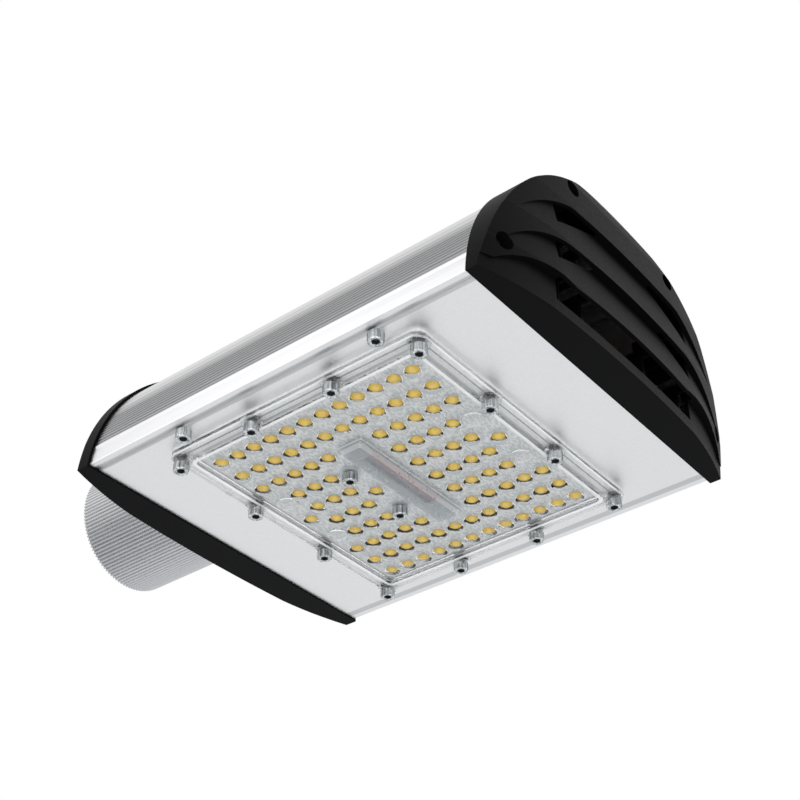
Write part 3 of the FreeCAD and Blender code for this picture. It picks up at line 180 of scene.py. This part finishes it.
ALUMINIUM = (0.60, 0.60, 0.61)
CAP_BLACK = (0.0035, 0.0035, 0.0037)
LOOKS = {
    "housing_profile": metal("anodised_aluminium", (0.68, 0.68, 0.69), 0.30, 0.42, (1, 60, 60),
                             12.0, 0.05),
    "base_plate": metal("plate_anodised", (0.80, 0.80, 0.80), 0.36, 0.5, (1, 1, 1), 900.0, 0.035),
    "rear_end_plate": metal("end_plate_metal", ALUMINIUM, 0.3, 0.45, (1, 1, 1), 200.0, 0.05),
    "spigot_tube": metal("tube_aluminium", ALUMINIUM, 0.25, 0.4, (1, 60, 60), 12.0, 0.06),
    "front_cap": plastic("black_moulding", CAP_BLACK, 0.5, specular=0.035),
    "rear_cap": plastic("black_moulding_rear", CAP_BLACK, 0.5, specular=0.035),
    "cable_gland": plastic("gland_black", (0.02, 0.02, 0.02), 0.4),
    "gland_nut": plastic("gland_nut_black", (0.02, 0.02, 0.02), 0.4),
    "driver_case": metal("driver_metal", (0.75, 0.75, 0.76), 0.3, 0.4, (1, 40, 40), 15.0, 0.05),
    "driver_end_rear": plastic("driver_black", (0.03, 0.03, 0.032), 0.5),
    "driver_end_front": plastic("driver_black_front", (0.03, 0.03, 0.032), 0.5),
    "driver_potting": plastic("potting", (0.1, 0.1, 0.1), 0.6),
    "terminal_block": plastic("terminal_cream", (0.72, 0.70, 0.62), 0.4),
    "terminal_screws": metal("terminal_brass", (0.8, 0.6, 0.28), 0.2, 0.35, (1, 1, 1)),
    # The board's white is streaked light and dark: painted light and shade from the cover's
    # ripples over it
    "led_board": plastic("board_white_painted_streaks", (0.88, 0.98, 1.0), 0.35, 0.26, stretch=(1, 0.4, 1),
                         edge=0.06),
    "led_packages": plastic("led_ceramic", (0.85, 0.84, 0.80), 0.4, 0.04),
    "led_phosphors": plastic("led_phosphor", (1.0, 0.62, 0.08), 0.3, 0.16, 500.0),
    "lens_gasket": plastic("gasket_pale", (0.90, 0.91, 0.92), 0.5),
    "lead_live": plastic("lead_brown", (0.12, 0.05, 0.02), 0.35),
    "lead_neutral": plastic("lead_blue", (0.02, 0.07, 0.35), 0.35),
    "lead_earth": plastic("lead_green", (0.2, 0.4, 0.05), 0.35),
    "lead_red": plastic("lead_red", (0.95, 0.04, 0.03), 0.35),
    "lead_black": plastic("lead_black", (0.02, 0.02, 0.02), 0.35),
    "lead_connector": plastic("connector_white", (0.85, 0.85, 0.82), 0.3),
}
SCREW_NODES = ["module_screws", "centre_screws", "plate_screws", "front_cap_screws",
               "rear_cap_screws", "spigot_screws", "pole_set_screws", "driver_screws",
               "terminal_fixings"]
# The screws deep in the front cap's holes take a much brighter steel: painted light, for their
# glints
cap_steel_painted_bright = metal("cap_steel_painted_bright", (0.9, 0.9, 0.92), 0.15, 0.3, (1, 1, 1), 400.0, 0.1, 0.05)
steel = metal("bright_steel", (0.38, 0.40, 0.41), 0.08, 0.18, (1, 1, 1), 400.0, 0.06, 0.05)
# The heads' colour is streaked dark and bright up their sides: painted reflections
head_steel = metal("knurled_steel_painted_reflections", (0.50, 0.52, 0.53), 0.08, 0.18, (1, 1, 0.06), 800.0, 0.7, 0.05)
key_shade = metal("key_recess", (0.16, 0.16, 0.17), 0.35, 0.5, (1, 1, 1), 400.0, 0.1, 0.05)
for name in SCREW_NODES:
    LOOKS[name] = steel
LOOKS["front_cap_screws"] = cap_steel_painted_bright

# Painted light and shade on the housing's flank, by height: the plain band painted bright, the
# ribs painted darker, and two thin dark lines painted above them
FLANK_PAINTED_LIGHT_AND_SHADE = [(-46, 1.0), (-34, 1.0), (-31, 0.46), (-8.5, 0.44), (-7, 0.62), (-4.9, 0.66),
               (-4.7, 0.34), (-4.1, 0.34), (-3.9, 0.8), (1.6, 0.85), (1.8, 0.42), (2.4, 0.42),
               (2.6, 0.92), (60, 0.92)]
# Distances from the plate's middle line: the strip near each long edge painted grey, a painted
# shade on its bevel
PLATE_PAINTED_SHADE = [(90, 1.0), (101.2, 1.0), (102, 0.72), (105.6, 0.72), (106.4, 1.0), (112, 1.0)]
add_painted_bands(LOOKS["housing_profile"], "Z", FLANK_PAINTED_LIGHT_AND_SHADE)
add_painted_bands(LOOKS["base_plate"], "Y", PLATE_PAINTED_SHADE)


def clear_plastic(name, ior, rough, coat=1.0, ripple=0.05, stretch=(1, 1, 1), through=1.0,
                  tint=(1, 1, 1, 1)):
    """Clear moulding with faint ripples left by the mould."""
    material, tree, shader = new_material(name)
    shader.inputs["Base Color"].default_value = tint
    shader.inputs["IOR"].default_value = ior
    shader.inputs["Transmission Weight"].default_value = through
    shader.inputs["Coat Weight"].default_value = coat
    noise = stretched_noise(tree, 260.0, stretch)
    roughness = range_map(tree, noise.outputs["Fac"], rough * 0.6, rough * 1.4)
    tree.links.new(roughness.outputs["Result"], shader.inputs["Roughness"])
    add_bump(tree, shader, noise.outputs["Fac"], ripple, 0.0004)
    return material


# The field bends light as acrylic does. The thin border and channel bend it less, so that they
# stay bright at their edges.
FIELD_IOR, BORDER_IOR = 1.49, 1.16
clear = clear_plastic("clear_lens", FIELD_IOR, 0.03, coat=0.0, ripple=0.35, stretch=(1, 0.5, 1))
clear_edge = clear_plastic("clear_lens_border", BORDER_IOR, 0.05)
# The border's ribs are made less clear so that they show white, a painted highlight, and its lines
# are tinted dark, a painted shade
edge_painted_highlight = clear_plastic("clear_lens_rib_painted_highlight", BORDER_IOR, 0.1, through=0.35)
edge_painted_shade = clear_plastic("clear_lens_line_painted_shade", BORDER_IOR, 0.1, tint=(0.3, 0.31, 0.33, 1))
channel_face = clear_plastic("clear_lens_top", BORDER_IOR, 0.3, through=0.92,
                             tint=(0.72, 0.75, 0.77, 1))
channel_wall = clear_plastic("clear_lens_wall", BORDER_IOR, 0.35, through=0.68)
pillar_pale = plastic("pillar_pale", (0.80, 0.83, 0.85), 0.35)
LOOKS["lens_cover"] = clear

for name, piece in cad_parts.items():
    if name in LOOKS:
        piece.data.materials.clear()
        piece.data.materials.append(LOOKS[name])


# Pieces built as meshes, in millimetres about the middle of the plate's underside

class Pile:
    """Points and faces of one piece, with each face's material number and smooth shading."""

    def __init__(self):
        self.points, self.faces, self.smooth, self.looks = [], [], [], []
        self.look = 0

    def add_points(self, points):
        first = len(self.points)
        self.points += [at(*point) for point in points]
        return list(range(first, len(self.points)))

    def face(self, corners, smooth=False, upwards=None):
        """One face. Where upwards is given, its corners run so that it faces up or down."""
        if upwards is not None:
            a, b, c = [self.points[corners[i]] for i in (0, 1, 2)]
            if ((b - a).cross(c - a).z > 0) != upwards:
                corners = tuple(reversed(corners))
        self.faces.append(corners)
        self.smooth.append(smooth)
        self.looks.append(self.look)

    def bridge(self, one, other, smooth=False, upwards=None):
        """Quads between two closed rings of equal length."""
        count = len(one)
        for i in range(count):
            j = (i + 1) % count
            self.face((one[i], one[j], other[j], other[i]), smooth, upwards)

    def turned(self, centre, profile, count, smooth_parts=(), caps=True):
        """A turned piece about a vertical axis. The profile is (radius, height) pairs."""
        x, y, z = centre
        rings = []
        for radius, height in profile:
            rings.append(self.add_points(
                [(x + radius * math.cos(2 * math.pi * i / count),
                  y + radius * math.sin(2 * math.pi * i / count), z + height)
                 for i in range(count)]))
        for number, (one, other) in enumerate(zip(rings, rings[1:])):
            self.bridge(one, other, number in smooth_parts)
        if caps:
            self.face(tuple(reversed(rings[0])))
            self.face(tuple(rings[-1]))

    def make(self, name, materials, replaced=(), closed=True):
        """The piece as an object. An open piece keeps its faces' directions as they were given."""
        mesh = bpy.data.meshes.new(name)
        mesh.from_pydata([tuple(point) for point in self.points], [], self.faces)
        mesh.polygons.foreach_set("use_smooth", self.smooth)
        mesh.polygons.foreach_set("material_index", self.looks)
        work = bmesh.new()
        work.from_mesh(mesh)
        bmesh.ops.remove_doubles(work, verts=work.verts, dist=1e-7)
        if closed:
            bmesh.ops.recalc_face_normals(work, faces=work.faces)
        work.to_mesh(mesh)
        work.free()
        for material in materials:
            mesh.materials.append(material)
        piece = bpy.data.objects.new(name, mesh)
        bpy.context.collection.objects.link(piece)
        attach(piece, "root")
        if replaced:
            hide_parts(*replaced)


# Clear cover: a swept border, a field with round domes, ears, bosses and the cable channel

COLUMNS, ROWS = 12, 10
COLUMN, ROW = 11.61, 15.91  # from one LED to the next
FIELD_X, FIELD_Y = 73.0, 81.5  # half sizes
FIELD_Z, CEILING_Z = -5.2, -2.54  # lower and upper face
PAD_RADIUS, PAD_HEIGHT = 2.75, 1.9
PAD_OVERLAP = 0.02  # how far the ceiling reaches into the pad's edge
# The border's section as (distance outside the field, height)
BORDER = [
    (0.0, -5.2), (0.5, -6.2), (2.4, -6.2), (4.6, -4.4), (6.9, -4.1), (7.2, -3.5), (7.9, -3.5),
    (8.2, -4.1), (10.2, -4.1), (11.0, -3.5), (11.0, -1.5), (0.0, -1.5), (0.0, -3.4),
]
CORNER_STEPS = 7
DOME_RADIUS, DOME_HEIGHT = 4.9, 3.2
DOME_RINGS, SIDE_POINTS = 7, 6


def rounded_ring(half_x, half_y, corner, z):
    points = []
    for sx, sy, start in ((1, 1, 0), (-1, 1, 90), (-1, -1, 180), (1, -1, 270)):
        for step in range(CORNER_STEPS + 1):
            turn = math.radians(start + 90 * step / CORNER_STEPS)
            points.append((sx * (half_x - corner) + corner * math.cos(turn),
                           sy * (half_y - corner) + corner * math.sin(turn), z))
    return points


def led_cells():
    """Cells of the field as (centre x, centre y, half x, half y, has a dome)."""
    def spot(column, row):
        return (column - (COLUMNS - 1) / 2) * COLUMN, (row - (ROWS - 1) / 2) * ROW

    cells = []
    for column in range(COLUMNS):
        for row in range(ROWS):
            x, y = spot(column, row)
            if column in (0, 4, 11) and row in (4, 5):
                continue
            full = row in (0, 1, 8, 9)
            broken = row in (2, 7) and column not in (5, 6)
            middle = row in (3, 4, 5, 6) and column in (1, 2, 3, 7, 8, 9, 10)
            cells.append((x, y, COLUMN / 2, ROW / 2, full or broken or middle))
    for column in (0, 4, 11):
        x, y = spot(column, (ROWS - 1) / 2)
        cells.append((x, y, COLUMN / 2, ROW, True))
    return cells


def add_dome_cell(pile, x, y, half_x, half_y):
    """A cell with a dome below it, and above it a ceiling that is open round the LED's pad."""
    corner = math.atan2(half_y, half_x)
    marks = [-corner, corner, math.pi - corner, math.pi + corner, 2 * math.pi - corner]
    angles = []
    for low, high in zip(marks, marks[1:]):
        angles += [low + (high - low) * i / SIDE_POINTS for i in range(SIDE_POINTS)]
    edge = []
    for angle in angles:
        c, s = math.cos(angle), math.sin(angle)
        reach = min(half_x / max(abs(c), 1e-9), half_y / max(abs(s), 1e-9))
        edge.append((x + c * reach, y + s * reach, FIELD_Z))
    previous = pile.add_points(edge)
    sphere = (DOME_RADIUS ** 2 + DOME_HEIGHT ** 2) / (2 * DOME_HEIGHT)
    centre_z = FIELD_Z - DOME_HEIGHT + sphere
    widest = math.asin(DOME_RADIUS / sphere)
    for ring in range(DOME_RINGS):
        tilt = widest * (1 - ring / DOME_RINGS)
        radius, z = sphere * math.sin(tilt), centre_z - sphere * math.cos(tilt)
        current = pile.add_points(
            [(x + radius * math.cos(a), y + radius * math.sin(a), z) for a in angles])
        pile.bridge(previous, current, ring > 0, upwards=False)
        previous = current
    tip = pile.add_points([(x, y, FIELD_Z - DOME_HEIGHT)])[0]
    for i in range(len(previous)):
        pile.face((previous[i], previous[(i + 1) % len(previous)], tip), True, upwards=False)
    around = pile.add_points([(px, py, CEILING_Z) for px, py, _ in edge])
    reach = PAD_RADIUS - PAD_OVERLAP
    seat = pile.add_points(
        [(x + reach * math.cos(a), y + reach * math.sin(a), CEILING_Z) for a in angles])
    pile.bridge(around, seat, upwards=True)


def add_flat_cell(pile, x, y, half_x, half_y, z=FIELD_Z, upwards=False):
    pile.face(tuple(pile.add_points([
        (x - half_x, y - half_y, z), (x + half_x, y - half_y, z),
        (x + half_x, y + half_y, z), (x - half_x, y + half_y, z)])), upwards=upwards)


field = Pile()
band_x, band_y = COLUMN * COLUMNS / 2, ROW * ROWS / 2
flat_cells = [cell[:4] for cell in led_cells() if not cell[4]]
for sign in (-1, 1):
    flat_cells.append((sign * (band_x + FIELD_X) / 2, 0, (FIELD_X - band_x) / 2, FIELD_Y))
    flat_cells.append((0, sign * (band_y + FIELD_Y) / 2, band_x, (FIELD_Y - band_y) / 2))
for cell in led_cells():
    if cell[4]:
        add_dome_cell(field, *cell[:4])
for cell in flat_cells:
    add_flat_cell(field, *cell)
    add_flat_cell(field, *cell, z=CEILING_Z, upwards=True)
field.make("lens_field", [clear], ["lens_cover"], closed=False)

cover = Pile()
rings = [cover.add_points(rounded_ring(FIELD_X + u, FIELD_Y + u, 3.0 + u * 0.3, z))
         for u, z in BORDER]
# Which strips of the border are bright ribs (1), a painted highlight, or dark lines (2), a painted
# shade
BORDER_PAINTED_LOOKS = {0: 2, 1: 1, 4: 2, 6: 1, 8: 1}
for number, (one, other) in enumerate(zip(rings, rings[1:] + rings[:1])):
    cover.look = BORDER_PAINTED_LOOKS.get(number, 0)
    cover.bridge(one, other)
cover.look = 0

EAR_PLACES = [(sx * x, sy * y) for x, y in ((79, 86), (26.5, 88.5), (79, 28.7))
              for sx in (-1, 1) for sy in (-1, 1)]
CENTRE_PLACES = [(-18, -21.3), (-18, 21.3)]
BOSS_PLACES = [(sx * 63.08, sy * 21) for sx in (-1, 1) for sy in (-1, 1)]
EAR_SEAT = -6.3
EAR = [(2.6, -4.12), (6.0, -4.12), (5.4, -4.6), (5.4, -5.9), (5.0, EAR_SEAT), (2.6, EAR_SEAT),
       (2.6, -4.12)]
PILLAR = [(2.8, -1.6), (6.0, -1.6), (6.0, -2.5), (2.8, -2.5), (2.8, -1.6)]
BOSS = [(6.2, -5.22), (6.2, -5.9), (5.8, -6.2), (4.4, -6.2), (4.0, -5.8), (3.4, -5.8)]
ROUND_SIDES = 32
for x, y in EAR_PLACES:
    cover.turned((x, y, 0), EAR, ROUND_SIDES, (2, 5), caps=False)
pillars = Pile()
for x, y in CENTRE_PLACES:
    pillars.turned((x, y, 0), PILLAR, ROUND_SIDES, (1, 3), caps=False)
pillars.make("lens_pillars", [pillar_pale])
for x, y in BOSS_PLACES:
    cover.turned((x, y, 0), BOSS, ROUND_SIDES, (0,))
cover.make("lens_border", [clear_edge, edge_painted_highlight, edge_painted_shade])

# Outside and hollow of the cable channel as (half width, half length, height)
CHANNEL = [(8.8, 44.5, -5.22), (8.4, 44.1, -5.9), (7.4, 43.0, -6.4), (6.4, 42.0, -8.3),
           (6.0, 41.6, -8.6)]
HOLLOW = [(6.7, 42.2, -5.22), (5.2, 40.6, -7.4)]
channel = Pile()
outer = [channel.add_points(rounded_ring(hx, hy, 1.2, z)) for hx, hy, z in CHANNEL]
inner = [channel.add_points(rounded_ring(hx, hy, 1.0, z)) for hx, hy, z in HOLLOW]
for walls in (outer, inner):
    for number, (one, other) in enumerate(zip(walls, walls[1:])):
        # the outside is pale but for its second step
        channel.look = 1 if walls is outer and number != 1 else 0
        channel.bridge(one, other)
    channel.look = 0
    channel.face(tuple(walls[-1]))
channel.bridge(inner[0], outer[0])
channel.make("lens_channel", [channel_face, channel_wall])

# Round phosphor pads on the LED packages

PAD_Z, PAD_FOOT, PAD_EDGE, PAD_SIDES = -2.3, 2.46, -0.24, 24
DOME_TURNS = [math.radians(t) for t in (20, 40, 60, 80)]
PAD = [(PAD_FOOT, 0.0), (PAD_RADIUS, PAD_EDGE)] + [
    (PAD_RADIUS * math.cos(t), PAD_EDGE - PAD_HEIGHT * math.sin(t)) for t in DOME_TURNS]
pads = Pile()
for x, y, _, _, has_dome in led_cells():
    if has_dome:
        pads.turned((x, y, PAD_Z), PAD, PAD_SIDES, (1, 2, 3, 4))
pads.make("phosphor_pads", [LOOKS["led_phosphors"]], ["led_phosphors"])

# Socket head screws with a chamfer and a hexagon key recess

HEAD_RADIUS, HEAD_HEIGHT, SHANK_RADIUS = 4.25, 5.0, 2.5
KEY_FLATS, KEY_DEPTH, KEY_TIP = 4.0, 2.6, 0.6
CHAMFER, KEY_FUNNEL = 0.5, 0.25
SCREW_SIDES, KNURL = 48, 0.16
CENTRE_SEAT = -5.2


def add_screw(pile, x, y, seat, shank):
    """A screw with its head below the seat's height and its shank above it."""
    def ring(radius, height, knurl=0.0):
        points = []
        for i in range(SCREW_SIDES):
            angle, reach = 2 * math.pi * i / SCREW_SIDES, radius - knurl * (i % 2)
            points.append((x + reach * math.cos(angle), y + reach * math.sin(angle),
                           seat + height))
        return pile.add_points(points)

    def key_ring(height):
        points = []
        for i in range(SCREW_SIDES):
            angle = 2 * math.pi * i / SCREW_SIDES
            from_flat = (angle % (math.pi / 3)) - math.pi / 6
            reach = KEY_FLATS / 2 / math.cos(from_flat)
            points.append((x + reach * math.cos(angle), y + reach * math.sin(angle),
                           seat + height))
        return pile.add_points(points)

    top = ring(SHANK_RADIUS, shank)
    rings = [top, ring(SHANK_RADIUS, 0), ring(HEAD_RADIUS, 0, KNURL),
             ring(HEAD_RADIUS, CHAMFER - HEAD_HEIGHT, KNURL),
             ring(HEAD_RADIUS - 0.12, 0.22 - HEAD_HEIGHT),
             ring(HEAD_RADIUS - CHAMFER, -HEAD_HEIGHT),
             ring(KEY_FLATS / 2 + 0.75, -HEAD_HEIGHT),
             key_ring(KEY_FUNNEL - HEAD_HEIGHT), key_ring(KEY_DEPTH - HEAD_HEIGHT)]
    for number, (one, other) in enumerate(zip(rings, rings[1:])):
        pile.look = 1 if number == len(rings) - 2 else 0
        pile.bridge(one, other, number in (0, 3))
    tip = pile.add_points([(x, y, seat + KEY_DEPTH + KEY_TIP - HEAD_HEIGHT)])[0]
    last = rings[-1]
    for i in range(SCREW_SIDES):
        pile.face((last[i], last[(i + 1) % SCREW_SIDES], tip))
    pile.look = 0
    pile.face(tuple(reversed(top)))


for label, places, seat, shank in (
        ("module_screws", EAR_PLACES, EAR_SEAT, 10.0),
        ("centre_screws", CENTRE_PLACES, CENTRE_SEAT, 9.0),
        ("plate_screws", [(-64, -100), (64, -100)], 0.0, 10.0)):
    pile = Pile()
    for x, y in places:
        add_screw(pile, x, y, seat, shank)
    pile.make(label + "_detail", [head_steel, key_shade], [label])

# Camera at the photograph's angle

CAMERA = Vector((0.6353, -0.5288, -0.4973))
RIGHT = Vector((0.78200, 0.62328, -0.00198))
UP = Vector((0.37218, -0.46440, 0.80363))
BACK = Vector((0.49996, -0.62918, -0.59513))
camera_data = bpy.data.cameras.new("camera")
camera_data.lens = 67.98
camera_data.sensor_width = 36.0
camera_data.clip_start = 0.01
camera_data.clip_end = 60
camera = bpy.data.objects.new("camera", camera_data)
bpy.context.collection.objects.link(camera)
turn = Matrix((RIGHT, UP, BACK)).transposed()
camera.matrix_world = Matrix.Translation(CAMERA) @ turn.to_4x4()
bpy.context.scene.camera = camera

# Floor, background and lamps

FLOOR_HALF, FLOOR_Z = 30, -1.4
floor_mesh = bpy.data.meshes.new("floor")
floor_mesh.from_pydata([(sx * FLOOR_HALF, sy * FLOOR_HALF, FLOOR_Z)
                        for sx, sy in ((-1, -1), (1, -1), (1, 1), (-1, 1))], [], [(0, 1, 2, 3)])
floor = bpy.data.objects.new("floor", floor_mesh)
bpy.context.collection.objects.link(floor)
floor_material, tree, shader = new_material("floor_pale")
noise = stretched_noise(tree, 3.0, (1, 1, 1))
colour = ramp(tree, noise.outputs["Fac"], 0.3, 0.7, grey(0.90), grey(0.94))
tree.links.new(colour.outputs["Color"], shader.inputs["Base Color"])
shader.inputs["Roughness"].default_value = 0.7
floor_mesh.materials.append(floor_material)

# The camera, mirrors and the clear cover see white, and the rest is lit a little softer
world = bpy.data.worlds.new("studio")
world.use_nodes = True
bpy.context.scene.world = world
tree = world.node_tree
tree.nodes.clear()
out = tree.nodes.new("ShaderNodeOutputWorld")
soft = node(tree, "ShaderNodeBackground")
soft.inputs["Color"].default_value = (0.95, 0.97, 1.0, 1)
soft.inputs["Strength"].default_value = 0.76
white = node(tree, "ShaderNodeBackground")
white.inputs["Color"].default_value = (1, 1, 1, 1)
white.inputs["Strength"].default_value = 1.0
path = node(tree, "ShaderNodeLightPath")
seen = node(tree, "ShaderNodeMath", operation="MAXIMUM")
mix = tree.nodes.new("ShaderNodeMixShader")
seen_clear = node(tree, "ShaderNodeMath", operation="MAXIMUM")
tree.links.new(path.outputs["Is Camera Ray"], seen.inputs[0])
tree.links.new(path.outputs["Is Glossy Ray"], seen.inputs[1])
tree.links.new(seen.outputs[0], seen_clear.inputs[0])
tree.links.new(path.outputs["Is Transmission Ray"], seen_clear.inputs[1])
tree.links.new(seen_clear.outputs[0], mix.inputs["Fac"])
tree.links.new(soft.outputs[0], mix.inputs[1])
tree.links.new(white.outputs[0], mix.inputs[2])
tree.links.new(mix.outputs[0], out.inputs["Surface"])


def lamp(name, place, aim, size, power):
    data = bpy.data.lights.new(name, "AREA")
    data.shape = "RECTANGLE"
    data.size, data.size_y = size
    data.energy = power
    light = bpy.data.objects.new(name, data)
    bpy.context.collection.objects.link(light)
    place, aim = Vector(place), Vector(aim)
    light.location = place
    light.rotation_euler = (aim - place).to_track_quat("-Z", "Y").to_euler()


CENTRE = (0.21, 0, -0.01)
lamp("lamp_key", (-0.4, -1.1, 1.0), CENTRE, (1.2, 0.8), 2.5)
lamp("lamp_under", (0.5, -0.4, -1.2), CENTRE, (1.6, 1.6), 7)
lamp("lamp_plate", (-0.5, 0.9, -0.95), CENTRE, (1.6, 1.6), 1.6)
lamp("lamp_far", (1.2, 0.9, 0.5), CENTRE, (1.0, 1.0), 4)

bpy.context.scene.view_settings.view_transform = "Standard"
